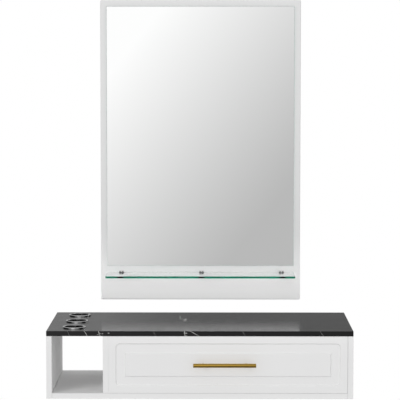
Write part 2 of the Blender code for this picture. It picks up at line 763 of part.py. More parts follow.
def clip_outline(back):
    """Clip seen from above: straight sides and a round front."""
    round_middle = back - CLIP_REACH + CLIP_HALF_WIDTH
    outline = [(CLIP_HALF_WIDTH, back), (-CLIP_HALF_WIDTH, back)]
    for step in range(CLIP_STEPS + 1):
        angle = math.pi * (1 + step / CLIP_STEPS)
        x = CLIP_HALF_WIDTH * math.cos(angle)
        outline.append((x, round_middle + CLIP_HALF_WIDTH * math.sin(angle)))
    return outline


def glass_shelf():
    """Glass shelf held at its back edge by three lined clips, each closed by a screw from below."""
    clip_back = panel_front - SEAT_GAP
    slot_end = clip_back - CLIP_BACK_WALL
    pad_half = PAD_THICKNESS / 2
    pad_level = SHELF_THICKNESS / 2 + SEAT_GAP + pad_half
    pad_back = slot_end - SEAT_GAP - pad_half
    pad_front = clip_back - CLIP_REACH + CLIP_HALF_WIDTH
    slot_half = pad_level + pad_half + SEAT_GAP
    clip_half_height = slot_half + CLIP_JAW
    glass_back = pad_back - pad_half - SEAT_GAP
    glass = prism(
        "glass_shelf",
        rounded_rectangle(shelf_width, SHELF_DEPTH, SHELF_CORNER),
        SHELF_THICKNESS,
        (0, glass_back - SHELF_DEPTH / 2, shelf_level),
    )
    finished(glass, "clear_glass")
    pad_path = [
        (pad_front, -pad_level),
        (pad_back, -pad_level),
        (pad_back, pad_level),
        (pad_front, pad_level),
    ]
    screw_y = (pad_front + pad_back) / 2
    hole_radius = CLIP_SCREW_RADIUS + SCREW_CLEARANCE
    hole_length = CLIP_JAW + 2 * CUT_MARGIN
    head_top = -clip_half_height - SEAT_GAP
    screw_profile = [
        (0, -slot_half),
        (CLIP_SCREW_RADIUS, -slot_half),
        (CLIP_SCREW_RADIUS, head_top),
        (CLIP_SCREW_HEAD_RADIUS, head_top),
        (CLIP_SCREW_HEAD_RADIUS, head_top - CLIP_SCREW_HEAD_HEIGHT),
        (0, head_top - CLIP_SCREW_HEAD_HEIGHT),
    ]
    outer_clip = shelf_width / 2 - CLIP_END_INSET
    for place, from_middle in (("left", -outer_clip), ("centre", 0), ("right", outer_clip)):
        x = CLIP_OFFSET + from_middle
        clip_place = (x, 0, shelf_level)
        clip = prism(f"shelf_clip_{place}", clip_outline(clip_back), 2 * clip_half_height, clip_place)
        slot_reach = CLIP_HALF_WIDTH + CUT_MARGIN
        slot_front = clip_back - CLIP_REACH - CUT_MARGIN
        slot = board(
            "clip_slot",
            (x - slot_reach, slot_front, shelf_level - slot_half),
            (x + slot_reach, slot_end, shelf_level + slot_half),
        )
        hole_middle = (x, screw_y, shelf_level - slot_half - CLIP_JAW / 2)
        hole = cylinder("clip_hole", hole_radius, hole_length, hole_middle, "Z", HOLE_STEPS)
        boolean(clip, slot)
        boolean(clip, hole)
        finished(clip, "chrome")
        pad_outline = sheet_outline(pad_path, PAD_THICKNESS)
        pad = prism(f"shelf_clip_pad_{place}", pad_outline, 2 * CLIP_HALF_WIDTH, clip_place, ACROSS)
        finished(pad, "black_rubber")
        screw_place = (x, screw_y, shelf_level)
        screw = turned(f"shelf_clip_screw_{place}", screw_profile, screw_place, HOLE_STEPS)
        finished(screw, "chrome")


cabinet()
drawer_body = moving_body("drawer_slide", (front_middle, cabinet_front, slide_axis))
drawer(drawer_body)
slide("left", bay_left, 1, drawer_body)
slide("right", bay_right, -1, drawer_body)
mirror_unit()
glass_shelf()
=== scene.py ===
"""Looks of the wall-mounted styling station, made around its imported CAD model.

Metres, +Z up. The wall is the plane y = 0 and the station faces -Y. Every piece has its place in
its mesh and its object at the origin, so object coordinates are the station's own.
"""

import math

import bmesh
import bpy
from mathutils import Matrix, Vector

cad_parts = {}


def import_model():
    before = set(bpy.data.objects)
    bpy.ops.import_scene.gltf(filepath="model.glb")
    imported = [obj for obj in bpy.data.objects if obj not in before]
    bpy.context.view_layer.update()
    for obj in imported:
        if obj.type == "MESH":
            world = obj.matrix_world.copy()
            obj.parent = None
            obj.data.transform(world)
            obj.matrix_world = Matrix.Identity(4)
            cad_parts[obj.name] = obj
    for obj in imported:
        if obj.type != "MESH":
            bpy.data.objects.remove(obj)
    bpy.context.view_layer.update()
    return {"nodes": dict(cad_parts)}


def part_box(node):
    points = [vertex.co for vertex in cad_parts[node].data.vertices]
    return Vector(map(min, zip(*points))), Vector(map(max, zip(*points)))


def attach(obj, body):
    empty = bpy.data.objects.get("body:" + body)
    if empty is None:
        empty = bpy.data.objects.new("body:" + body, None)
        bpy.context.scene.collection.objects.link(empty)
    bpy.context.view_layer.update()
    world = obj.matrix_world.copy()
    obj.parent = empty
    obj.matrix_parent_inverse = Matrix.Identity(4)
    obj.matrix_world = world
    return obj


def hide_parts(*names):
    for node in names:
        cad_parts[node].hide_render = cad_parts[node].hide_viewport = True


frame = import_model()

MM = 0.001
SIDES = ("left", "right")
CLIPS = ("left", "centre", "right")

# Camera, fitted to the straight edges in the photograph
CAMERA_PLACE = (0.0350, -5.8380, 0.9137)
CAMERA_PITCH = 0.07865          # downwards, radians
CAMERA_YAW = 0.00629
CAMERA_LENS = 168.76            # mm
CAMERA_SENSOR = 36              # mm wide

# Floor and lights
FLOOR_LEVEL = -0.90
FLOOR_MIDDLE = -0.15            # along Y
FLOOR_RADIUS = 1.8
FLOOR_FADE = (0.9, 1.746)       # from its middle, where the floor starts to fade and is white
SOFT_RANGE = (-0.25, 0.05)      # upward share of a direction, where soft light starts and is whole
SOFT_LEVELS = (0.52, 0.56)
SOFT_BEHIND = 0.75              # the bright wall side
SOFT_BEHIND_EDGE = (0.0, 0.4)
KEY_PLACE = (-4.2, -5.2, 4.2)
KEY_AIM = (0, 0, 0.4)
KEY_SIZE = 3.2
KEY_POWER = 146
FILL_PLACE = (2.6, -7.4, 0.6)
FILL_AIM = (-0.1, -0.2, 0.3)
FILL_SIZE = 3.0
FILL_POWER = 130
APRON_LIGHT_PLACE = (0, -3.0, 0.30)
APRON_LIGHT_AIM = (0, 0, 0.195)
APRON_LIGHT_SIZE = (1.0, 0.12)
APRON_LIGHT_SPREAD = math.radians(6)
APRON_LIGHT_POWER = 0.120

# What polished surfaces mirror: a bright card in front, to the upper left, in a dim room.
# Edges and ranges are shares of a direction along an axis.
CARD_ACROSS = -0.78             # the way in which the card brightens
CARD_UP = 0.63
CARD_RANGE = (-0.0775, 0.0353)
CARD_LEVELS = (0.52, 1.06)
CARD_CURVE = 1.15
CARD_MIDDLE = -0.08             # across
CARD_EDGE = (0.42, 0.22)        # across from its middle, where the card starts and is whole
CARD_FACE = (0.0, -0.30)
BELOW_RANGE = (-0.115, -0.32)
BELOW_SHARE = 0.25              # of the card's light that the room has below it
BEHIND_EDGE = (0.45, 0.90)
BEHIND_RANGE = (-0.09, 0.0)
BEHIND_LEVELS = (0.43, 0.23)
SIDE_RANGE = (-0.40, 0.40)
SIDE_LEVELS = (0.03, 0.015)
FRONT_SIDE_EDGE = (-0.40, -0.80)
FRONT_SIDE_LEVEL = 0.42
LOW_SIDE_EDGE = (0.25, 0.45)
LOW_SIDE_RANGE = (-0.03, -0.12)
LOW_SIDE_LEVEL = 0.85
ABOVE_RANGE = (0.30, 0.85)
ABOVE_LEVEL = 0.45

# Patterns of the looks
NOISE_SPREAD = (0.3, 0.7)       # where most of a noise's values lie
GLASS_IOR = 1.5
EDGE_GLEAM = (0.3, 0.3, 0.3, 1.0)
# width over which the painted reflection of each clip's liner fades out of the glass edge
CLIP_REFLECTION_FADE = 1 * MM
VEIN_WANDER = 0.007
WEB_WIDTH = 0.010               # of the faint web between the veins, as a share of its cells
WEB_BRIGHTNESS = 0.05
FLECK_BRIGHTNESS = 0.75
BACKING_EDGE = (-0.90, -0.95)   # upward share of a normal, where the backing starts and is whole

# Veins in the counter: start and end on its top, slant below it, width and brightness
VEINS = (
    ((-0.062, -0.080), (-0.062, -0.145), 0.0, 0.0030, 0.45),
    ((-0.062, -0.145), (-0.047, -0.152), 0.0, 0.0080, 0.40),
    ((-0.047, -0.145), (-0.046, -0.190), 0.0, 0.0085, 0.55),
    ((-0.042, -0.185), (-0.016, -0.207), 0.0, 0.0025, 0.22),
    ((-0.016, -0.207), (0.119, -0.293), 0.0, 0.0016, 0.14),
    ((0.119, -0.293), (0.243, -0.342), 0.0, 0.0016, 0.10),
    ((-0.325, -0.372), (-0.347, -0.416), 0.75, 0.0013, 0.85),
    ((-0.2960, -0.396), (-0.2970, -0.412), 0.35, 0.0016, 0.80),
    ((-0.302, -0.362), (-0.225, -0.372), 0.0, 0.0030, 0.20),
    ((-0.384, -0.380), (-0.392, -0.416), 0.55, 0.0010, 0.30),
    ((-0.0441, -0.394), (-0.0431, -0.414), 0.05, 0.0016, 1.00),
    ((-0.040, -0.372), (-0.0205, -0.416), 1.75, 0.0018, 1.00),
    ((-0.150, -0.362), (-0.131, -0.416), 0.50, 0.0010, 0.25),
    ((0.118, -0.380), (0.1315, -0.416), 0.60, 0.0011, 0.25),
    ((0.346, -0.386), (0.360, -0.416), 0.60, 0.0011, 0.32),
    ((0.225, -0.050), (0.330, -0.250), 0.0, 0.0009, 0.07),
    ((-0.250, -0.060), (-0.180, -0.260), 0.0, 0.0008, 0.06),
)

# Flecks in the counter's front edge: middle along X, depth below its top, half length and height
FLECKS = (
    (-0.2925, 0.0075, 0.0040, 0.0018),
    (-0.2850, 0.0075, 0.0036, 0.0016),
    (-0.2980, 0.0105, 0.0036, 0.0014),
    (-0.0400, 0.0060, 0.0050, 0.0024),
    (-0.0400, 0.0138, 0.0060, 0.0014),
    (-0.2670, 0.0060, 0.0040, 0.0022),
)

# Routed drawer front
FRONT_MARGIN = 0.0208
ROUTED_BAND = 0.0300
ROUTED_DEPTH = 0.0036
ROUTED_STEP_RUN = 0.0028
ROUTED_CORNER = 0.013
FIELD_STEP = 0.0030
FIELD_STEP_RUN = 0.0024
FIELD_CORNER = 0.001
FRONT_ARRIS = 0.0002
FRONT_LEFT_REACH = 0.0003       # towards the divider, where the photograph shows no gap
FRONT_SUPPORT = 0.0004          # rings close to an edge keep the flats beside it evenly shaded
BAND_SHARES = (0.03, 0.5, 0.97)  # where the rings across the routed band lie

# Mirror unit
PANEL_EDGE_RADIUS = 0.003
PANEL_CORNER = 0.004
PANEL_BACK_ARRIS = 0.0005
MIRROR_ARRIS = 0.0003
SHELF_CORNER = 0.004
SHELF_ARRIS = 0.0005
CLIP_JAW = 0.0035
CLIP_BACK_WALL = 0.005
CLIP_EDGE = 0.0009
CLIP_HOLE_OVERRUN = 0.0001      # into the slot for the glass
BUMPER_EDGE = 0.0015

# Tool rings
RING_WALL = 0.002
RING_FLANGE = 0.006
RING_EDGE = 0.0014
RING_LIP = 0.0006

# Handle and screws
HANDLE_CHAMFER = 0.0008
SEAT_GAP = 0.0003
SCREW_RADIUS = 0.002
SCREW_SEAT = 0.1 * MM           # between a screw's head and the face behind it
DOME_SHARE = 0.45               # of a screw head's height
CROWN_SHARE = 0.35              # of a screw head's radius, flat on top
DRIVE_DEPTH = 0.6               # share of a screw head's height
HEX_SHARE = 0.5                 # of a screw head's radius
HEX_TURN = math.radians(5)      # keeps a socket's corners off the edges of the head's facets
CROSS_WIDTH = 0.16              # shares of a screw head's radius
CROSS_REACH = 0.66
CLIP_SCREW_HEIGHT = 0.0022
SLIDE_HOLE_INSET = 0.032
SLIDE_SCREW_HEAD = 0.002
SLIDE_SCREW_HEIGHT = 0.00108    # a little under the slides' sheet
SLIDE_SCREW_SHANK = 0.0002
RAIL_HOLE_INSET = 0.050
RAIL_PLATE = 0.022
RAIL_SHEET = 0.002
RAIL_SCREW_HEAD = 0.0038
RAIL_SCREW_HEIGHT = 0.0016

# Facets
CORNER_STEPS = 10
EDGE_STEPS = 8
FIELD_STEPS = 4
SMALL_EDGE_STEPS = 4
ARRIS_STEPS = 3
BUMPER_EDGE_STEPS = 5
DOME_STEPS = 6
HEX_SIDES = 6
ROUND_STEPS = 96
BAR_STEPS = 64
SCREW_STEPS = 32
SMOOTH_ANGLE = math.radians(32)


# Node helpers

def add(tree, kind, inputs=(), **settings):
    """Adds a node, sets its properties, and gives its inputs values or links."""
    made = tree.nodes.new(kind)
    for name, value in settings.items():
        setattr(made, name, value)
    for key, value in dict(inputs).items():
        if isinstance(value, bpy.types.NodeSocket):
            tree.links.new(value, made.inputs[key])
        else:
            made.inputs[key].default_value = value
    return made


def math_node(tree, operation, *values, clamp=False):
    """Result of a Math node."""
    made = add(tree, "ShaderNodeMath", enumerate(values), operation=operation, use_clamp=clamp)
    return made.outputs[0]


def vector_node(tree, operation, first, second, output="Vector"):
    """Result of a Vector Math node with two inputs."""
    made = add(tree, "ShaderNodeVectorMath", {0: first, 1: second}, operation=operation)
    return made.outputs[output]


def ramp(tree, value, start, end, low=0.0, high=1.0, smooth=True):
    """Value mapped from one range to another, held at both ends."""
    kind = "SMOOTHSTEP" if smooth else "LINEAR"
    inputs = {"Value": value, "From Min": start, "From Max": end, "To Min": low, "To Max": high}
    return add(tree, "ShaderNodeMapRange", inputs, interpolation_type=kind, clamp=True).outputs[0]


def mixed(tree, share, first, second):
    """Colour between two colours, each written out or from a socket."""
    made = add(tree, "ShaderNodeMix", data_type="RGBA")
    for key, value in ((0, share), (6, first), (7, second)):
        if isinstance(value, bpy.types.NodeSocket):
            tree.links.new(value, made.inputs[key])
        else:
            made.inputs[key].default_value = value if key == 0 else (*value, 1)
    return made.outputs[2]


def between(tree, share, first, second):
    """Number between two numbers."""
    inputs = {0: share, 2: first, 3: second}
    return add(tree, "ShaderNodeMix", inputs, data_type="FLOAT").outputs[0]


def place_of(tree, stretch=(1, 1, 1)):
    """Object coordinates in metres, stretched along the axes."""
    coordinates = add(tree, "ShaderNodeTexCoord").outputs["Object"]
    if stretch == (1, 1, 1):
        return coordinates
    return add(tree, "ShaderNodeMapping", {"Vector": coordinates, "Scale": stretch}).outputs[0]


def noise(tree, place, scale, detail=3.0):
    """Cloudy noise with so many lumps in a metre."""
    inputs = {"Vector": place, "Scale": scale, "Detail": detail}
    return add(tree, "ShaderNodeTexNoise", inputs).outputs[0]


def bumped(tree, shader, height, distance):
    """Raises the shader's surface by a height pattern, in metres."""
    inputs = {"Height": height, "Distance": distance, "Strength": 1.0}
    tree.links.new(add(tree, "ShaderNodeBump", inputs).outputs[0], shader.inputs["Normal"])


def new_material(name, **uniform):
    """Material with one Principled shader, and the values that are the same all over it."""
    made = bpy.data.materials.new(name)
    made.use_nodes = True
    shader = made.node_tree.nodes["Principled BSDF"]
    for key, value in uniform.items():
        shader.inputs[key.replace("_", " ")].default_value = value
    return made, made.node_tree, shader


def feed(tree, shader, **patterns):
    """Links patterns to the shader's inputs."""
    for key, value in patterns.items():
        tree.links.new(value, shader.inputs[key.replace("_", " ")])


# Materials

def white_board(name, dull, bright):
    """Satin white foil on board: faint clouding, an uneven sheen and a very fine orange peel."""
    made, tree, shader = new_material(name)
    place = place_of(tree)
    clouds = noise(tree, place, scale=5, detail=4)
    white = mixed(tree, clouds, (dull,) * 3, (bright,) * 3)
    sheen = ramp(tree, noise(tree, place, scale=60), *NOISE_SPREAD, low=0.40, high=0.50)
    feed(tree, shader, Base_Color=white, Roughness=sheen)
    bumped(tree, shader, noise(tree, place, scale=1400, detail=2), distance=0.03 * MM)
    return made


def vein(tree, place, depth_below, start, end, slant, width):
    """How strongly a vein shows, 0 to 1. Below the counter's top it leans along X by its slant."""
    run = Vector((*end, 0)) - Vector((*start, 0))
    leaning = math_node(tree, "MULTIPLY", depth_below, slant)
    lean = add(tree, "ShaderNodeCombineXYZ", {"X": leaning}).outputs[0]
    upright = vector_node(tree, "SUBTRACT", place, lean)
    from_start = vector_node(tree, "SUBTRACT", upright, (*start, 0))
    along = vector_node(tree, "DOT_PRODUCT", from_start, run / run.length_squared, output="Value")
    share = math_node(tree, "ADD", along, 0.0, clamp=True)
    foot = add(tree, "ShaderNodeVectorMath", {0: run, "Scale": share}, operation="SCALE").outputs[0]
    distance = vector_node(tree, "DISTANCE", from_start, foot, output="Value")
    return ramp(tree, distance, width, 0)


def fleck(tree, across, depth_below, middle, depth, half_length, half_height):
    """How strongly a small fleck in the counter's front edge shows, 0 to 1."""
    along = math_node(tree, "ABSOLUTE", math_node(tree, "SUBTRACT", across, middle))
    down = math_node(tree, "ABSOLUTE", math_node(tree, "SUBTRACT", depth_below, depth))
    shown_along = ramp(tree, along, half_length, 0)
    return math_node(tree, "MULTIPLY", shown_along, ramp(tree, down, half_height, 0))


def marble_whites(tree, place, parts, flat):
    """How strongly the veins, the flecks and the faint web between them show, 0 to 1."""
    wander = add(tree, "ShaderNodeTexNoise", {"Vector": place, "Scale": 60, "Detail": 4})
    centred = vector_node(tree, "SUBTRACT", wander.outputs["Color"], (0.5, 0.5, 0.5))
    shift = vector_node(tree, "MULTIPLY", centred, (VEIN_WANDER, VEIN_WANDER, 0))
    wandering = vector_node(tree, "ADD", flat, shift)
    cells = {"Vector": wandering, "Scale": 7}
    web = add(tree, "ShaderNodeTexVoronoi", cells, feature="DISTANCE_TO_EDGE").outputs["Distance"]
    patches = ramp(tree, noise(tree, flat, scale=9), 0.52, 0.70, high=WEB_BRIGHTNESS)
    shown = math_node(tree, "MULTIPLY", ramp(tree, web, WEB_WIDTH, 0), patches)
    depth_below = math_node(tree, "SUBTRACT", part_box("countertop")[1].z, parts["Z"])
    for start, end, slant, width, brightness in VEINS:
        line = vein(tree, wandering, depth_below, start, end, slant, width)
        shown = math_node(tree, "MAXIMUM", shown, math_node(tree, "MULTIPLY", line, brightness))
    for sizes in FLECKS:
        spot = fleck(tree, parts["X"], depth_below, *sizes)
        bright = math_node(tree, "MULTIPLY", spot, FLECK_BRIGHTNESS)
        shown = math_node(tree, "MAXIMUM", shown, bright)
    broken = ramp(tree, noise(tree, place, scale=130), 0.30, 0.55, low=0.45)
    return math_node(tree, "MULTIPLY", shown, broken)


def black_marble():
    """Satin black marble look with a few thin white veins, on a slab with a pale backing."""
    made, tree, shader = new_material("black_marble", IOR=1.45)
    place = place_of(tree)
    parts = add(tree, "ShaderNodeSeparateXYZ", {0: place}).outputs
    flat = add(tree, "ShaderNodeCombineXYZ", {"X": parts["X"], "Y": parts["Y"]}).outputs[0]
    clouds = noise(tree, flat, scale=14, detail=5)
    ground = mixed(tree, clouds, (0.0018, 0.0018, 0.0019), (0.0050, 0.0050, 0.0053))
    marble = mixed(tree, marble_whites(tree, place, parts, flat), ground, (0.62, 0.62, 0.60))
    fibres = noise(tree, flat, scale=120)
    backing = mixed(tree, fibres, (0.66, 0.65, 0.63), (0.72, 0.71, 0.69))
    normal = add(tree, "ShaderNodeNewGeometry").outputs["True Normal"]
    upward = add(tree, "ShaderNodeSeparateXYZ", {0: normal}).outputs["Z"]
    slab = mixed(tree, ramp(tree, upward, *BACKING_EDGE), marble, backing)
    sheen = ramp(tree, noise(tree, place, scale=35), *NOISE_SPREAD, low=0.16, high=0.20)
    feed(tree, shader, Base_Color=slab, Roughness=sheen)
    bumped(tree, shader, noise(tree, place, scale=700, detail=2), distance=0.008 * MM)
    return made


def mirror_silver():
    """Silvered glass, almost clear of smears."""
    made, tree, shader = new_material("mirror", Metallic=1.0)
    place = place_of(tree)
    tint = mixed(tree, noise(tree, place, scale=3), (0.925, 0.930, 0.927), (0.935, 0.937, 0.935))
    smears = noise(tree, place, scale=7, detail=5)
    gloss = ramp(tree, smears, 0.45, 0.75, low=0.004, high=0.016)
    feed(tree, shader, Base_Color=tint, Roughness=gloss)
    return made


def glass_face():
    """Clear polished glass with faint smears."""
    made, tree, shader = new_material("clear_glass", Transmission_Weight=1.0, IOR=GLASS_IOR)
    place = place_of(tree)
    tint = mixed(tree, noise(tree, place, scale=4), (0.975, 0.990, 0.985), (0.985, 0.995, 0.990))
    smears = noise(tree, place, scale=12, detail=5)
    gloss = ramp(tree, smears, 0.5, 0.8, low=0.0, high=0.02)
    feed(tree, shader, Base_Color=tint, Roughness=gloss)
    return made


def glass_edge():
    """Polished edge, through which the glass looks deep green, with a painted reflection of the clips'
    black liners where they hold it.
    """
    made, tree, shader = new_material(
        "glass_edge", Transmission_Weight=1.0, IOR=GLASS_IOR, Specular_Tint=EDGE_GLEAM
    )
    streaks = noise(tree, place_of(tree, (40, 40, 900)), scale=1)
    tint = mixed(tree, streaks, (0.0003, 0.29, 0.162), (0.0010, 0.34, 0.195))
    across = add(tree, "ShaderNodeSeparateXYZ", {0: place_of(tree)}).outputs["X"]
    # Painted reflection: the edge's tint turns almost black over the width of each clip's liner.
    for clip in CLIPS:
        low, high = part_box(f"shelf_clip_pad_{clip}")
        half = (high.x - low.x) / 2
        from_middle = math_node(tree, "SUBTRACT", across, (low.x + high.x) / 2)
        lined = ramp(tree, math_node(tree, "ABSOLUTE", from_middle), half, half - CLIP_REFLECTION_FADE)
        tint = mixed(tree, lined, tint, (0.0, 0.004, 0.003))
    gloss = ramp(tree, streaks, *NOISE_SPREAD, low=0.02, high=0.10)
    feed(tree, shader, Base_Color=tint, Roughness=gloss)
    return made


def metal(name, dark, light, smooth, rough, relief, scale=1, stretch=(1, 1, 1)):
    """Metal whose colour, gloss and fine relief follow one pattern of scratches or grains."""
    made, tree, shader = new_material(name, Metallic=1.0)
    pattern = noise(tree, place_of(tree, stretch), scale, detail=4)
    gloss = ramp(tree, pattern, 0.25, 0.75, low=smooth, high=rough)
    feed(tree, shader, Base_Color=mixed(tree, pattern, dark, light), Roughness=gloss)
    bumped(tree, shader, pattern, relief)
    return made


def black_rubber():
    """Matt black rubber with a fine grain and a dusty bloom."""
    made, tree, shader = new_material("black_rubber")
    place = place_of(tree)
    bloom = mixed(tree, noise(tree, place, scale=90), (0.010, 0.010, 0.010), (0.024, 0.024, 0.024))
    sheen = ramp(tree, noise(tree, place, scale=300), *NOISE_SPREAD, low=0.62, high=0.85)
    feed(tree, shader, Base_Color=bloom, Roughness=sheen)
    bumped(tree, shader, noise(tree, place, scale=2500, detail=2), distance=0.05 * MM)
    return made


LOOKS = {
    "white_board": white_board("white_board", dull=0.840, bright=0.870),
    "black_marble": black_marble(),
    "mirror": mirror_silver(),
    "clear_glass": glass_face(),
    "chrome": metal(
        "chrome", dark=(0.76, 0.76, 0.765), light=(0.82, 0.82, 0.82),
        smooth=0.04, rough=0.09, relief=0.002 * MM, scale=260,
    ),
    "brass": metal(
        "brass", dark=(0.48, 0.30, 0.055), light=(0.57, 0.37, 0.075),
        smooth=0.15, rough=0.26, relief=0.010 * MM, stretch=(14, 900, 900),
    ),
    "zinc_steel": metal(
        "zinc_steel", dark=(0.52, 0.53, 0.55), light=(0.66, 0.67, 0.68),
        smooth=0.24, rough=0.42, relief=0.006 * MM, scale=190,
    ),
    "aluminium": metal(
        "aluminium", dark=(0.66, 0.67, 0.68), light=(0.76, 0.77, 0.78),
        smooth=0.28, rough=0.42, relief=0.010 * MM, stretch=(10, 700, 700),
    ),
    "black_rubber": black_rubber(),
}
# Painted shade: a copy of the board look, a little darker, standing in for the dimmer light on the
# mirror panel than on the cabinet.
SHADED_WHITE_PANEL = white_board("white_panel_painted_shade", dull=0.795, bright=0.825)
GLASS_EDGE = glass_edge()
# Painted shade: dark grey metal for the inside of the tool rings' chrome sleeves, standing in for the
# shade and dark reflections down their bores.
RING_BORE_PAINTED_SHADE = metal(
    "ring_bore_painted_shade", dark=(0.10, 0.10, 0.10), light=(0.20, 0.20, 0.20),
    smooth=0.18, rough=0.34, relief=0.004 * MM, scale=190,
)

# Slots of the CAD nodes by the start of their names. All others are white boards.
NODE_SLOTS = {
    "tool_ring": "chrome",
    "handle_screw": "zinc_steel",
    "handle": "brass",
    "slide": "zinc_steel",
    "mirror_glass": "mirror",
    "mirror_wall_rail": "aluminium",
    "mirror_hook_rail": "aluminium",
    "mirror_bumper": "black_rubber",
    "glass_shelf": "clear_glass",
    "shelf_clip_pad": "black_rubber",
    "shelf_clip": "chrome",
    "countertop": "black_marble",
}


def finish_cad_nodes():
    """Gives every CAD node the look of its slot."""
    for name, obj in frame["nodes"].items():
        slots = [slot for start, slot in NODE_SLOTS.items() if name.startswith(start)]
        obj.data.materials.clear()
        obj.data.materials.append(LOOKS[slots[0] if slots else "white_board"])


# Mesh helpers

def piece(name, bm, body, slot, replaces=(), extra=()):
    """Finished object from a bmesh whose points are in the station's frame."""
    bmesh.ops.recalc_face_normals(bm, faces=bm.faces)
    mesh = bpy.data.meshes.new(name)
    bm.to_mesh(mesh)
    bm.free()
    mesh.shade_smooth()
    mesh.set_sharp_from_angle(angle=SMOOTH_ANGLE)
    for look in (LOOKS[slot], *extra):
        mesh.materials.append(look)
    obj = bpy.data.objects.new(name, mesh)
    bpy.context.scene.collection.objects.link(obj)
    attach(obj, body)
    if replaces:
        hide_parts(*replaces)
    return obj


def loft(rings):
    """Closed solid through rings of equal point count."""
    bm = bmesh.new()
    loops = [[bm.verts.new(point) for point in ring] for ring in rings]
    for lower, upper in zip(loops, loops[1:]):
        for i in range(len(lower)):
            j = (i + 1) % len(lower)
            bm.faces.new((lower[i], lower[j], upper[j], upper[i]))
    bm.faces.new(loops[0])
    bm.faces.new(loops[-1])
    return bm


def rounded_rectangle(width, height, radius):
    """Rectangle about the origin with its corners drawn as arcs, anticlockwise."""
    points = []
    for turn, (across, up) in enumerate(((1, 1), (-1, 1), (-1, -1), (1, -1))):
        for step in range(CORNER_STEPS + 1):
            angle = math.pi / 2 * (turn + step / CORNER_STEPS)
            x = across * (width / 2 - radius) + radius * math.cos(angle)
            y = up * (height / 2 - radius) + radius * math.sin(angle)
            points.append((x, y))
    return points


def front_rings(low, high, profile):
    """Rings of a board that faces -Y, from insets, depths behind its face and corner radii."""
    middle = (low + high) / 2
    width = high.x - low.x
    height = high.z - low.z
    rings = []
    for inset, depth, corner in profile:
        outline = rounded_rectangle(width - 2 * inset, height - 2 * inset, corner)
        rings.append([(middle.x + x, low.y + depth, middle.z + z) for x, z in outline])
    return rings


def turned(profile, steps, matrix):
    """Solid of revolution about local Z. Its (radius, height) points close, or end on the axis."""
    bm = bmesh.new()
    on_axis = profile[0][0] == 0
    rim = profile[1:-1] if on_axis else profile
    turns = [2 * math.pi * step / steps for step in range(steps)]
    loops = []
    for radius, height in rim:
        ring = [(radius * math.cos(turn), radius * math.sin(turn), height) for turn in turns]
        loops.append([bm.verts.new(point) for point in ring])
    pairs = list(zip(loops, loops[1:]))
    if not on_axis:
        pairs.append((loops[-1], loops[0]))
    for upper, lower in pairs:
        for i in range(steps):
            j = (i + 1) % steps
            bm.faces.new((upper[i], upper[j], lower[j], lower[i]))
    if on_axis:
        bm.faces.new(loops[0])
        bm.faces.new(loops[-1])
    bmesh.ops.transform(bm, matrix=matrix, verts=bm.verts)
    return bm


def quarter_round(radius, steps=EDGE_STEPS):
    """Inset and depth of a rounded edge, from the side to the face."""
    angles = [math.pi / 2 * step / steps for step in range(steps + 1)]
    return [(radius * (1 - math.cos(a)), radius * (1 - math.sin(a))) for a in angles]


def eased(share):
    """Share of a step's height that starts and ends level."""
    return share * share * (3 - 2 * share)


def box_mesh(low, high):
    """Plain box, for cutting."""
    bm = bmesh.new()
    bmesh.ops.create_cube(bm, size=1)
    middle = (Vector(low) + Vector(high)) / 2
    size = Vector(high) - Vector(low)
    bmesh.ops.scale(bm, vec=size, verts=bm.verts)
    bmesh.ops.translate(bm, vec=middle, verts=bm.verts)
    return bm


def rod_mesh(radius, length, matrix, steps=SCREW_STEPS):
    """Plain rod about local Z, for cutting."""
    bm = bmesh.new()
    bmesh.ops.create_cone(
        bm, cap_ends=True, segments=steps, radius1=radius, radius2=radius, depth=length, matrix=matrix
    )
    return bm


def carved(bm, cutters):
    """The bmesh with other bmeshes cut out of it."""
    helpers = []
    for index, source in enumerate((bm, *cutters)):
        mesh = bpy.data.meshes.new("carving")
        bmesh.ops.recalc_face_normals(source, faces=source.faces)
        source.to_mesh(mesh)
        source.free()
        helper = bpy.data.objects.new("carving", mesh)
        bpy.context.scene.collection.objects.link(helper)
        if index:
            cut = helpers[0].modifiers.new("cut", "BOOLEAN")
            cut.object = helper
        helpers.append(helper)
    graph = bpy.context.evaluated_depsgraph_get()
    result = bmesh.new()
    result.from_mesh(helpers[0].evaluated_get(graph).to_mesh())
    for helper in helpers:
        bpy.data.objects.remove(helper, do_unlink=True)
    return result


def facing(direction, place):
    """Matrix that puts local Z along a direction, at a place."""
    turn = Vector(direction).to_track_quat("Z", "Y").to_matrix().to_4x4()
    return Matrix.Translation(Vector(place)) @ turn


# Cabinet

def tool_rings():
    """Chrome sleeves with a flat flange, rounded at its edges, and a softened lower end."""
    counter_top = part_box("countertop")[1].z
    edge = quarter_round(RING_EDGE)
    for place in ("back", "middle", "front"):
        node = f"tool_ring_{place}"
        low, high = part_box(node)
        rim = (high.x - low.x) / 2
        bore = rim - RING_FLANGE
        sleeve = bore + RING_WALL
        crown = high.z - counter_top
        bottom = low.z - counter_top
        profile = [(rim - inset, crown - depth) for inset, depth in reversed(edge)]
        profile += [(rim, SEAT_GAP), (sleeve, SEAT_GAP), (sleeve, bottom + RING_LIP)]
        profile += [(sleeve - RING_LIP, bottom), (bore + RING_LIP, bottom), (bore, bottom + RING_LIP)]
        profile += [(bore + inset, crown - depth) for inset, depth in edge]
        middle = Vector(((low.x + high.x) / 2, (low.y + high.y) / 2, counter_top))
        bm = turned(profile, ROUND_STEPS, Matrix.Translation(middle))
        # Faces of the bore below the rounded edge take the dark metal, a painted shade for the inside
        # of the sleeve.
        for face in bm.faces:
            in_bore = all((vert.co.xy - middle.xy).length < bore + RING_LIP / 2 for vert in face.verts)
            below_edge = all(vert.co.z < high.z - RING_EDGE + RING_LIP / 2 for vert in face.verts)
            face.material_index = 1 if in_bore and below_edge else 0
        piece(f"{node}_polished", bm, "station", "chrome", [node], [RING_BORE_PAINTED_SHADE])


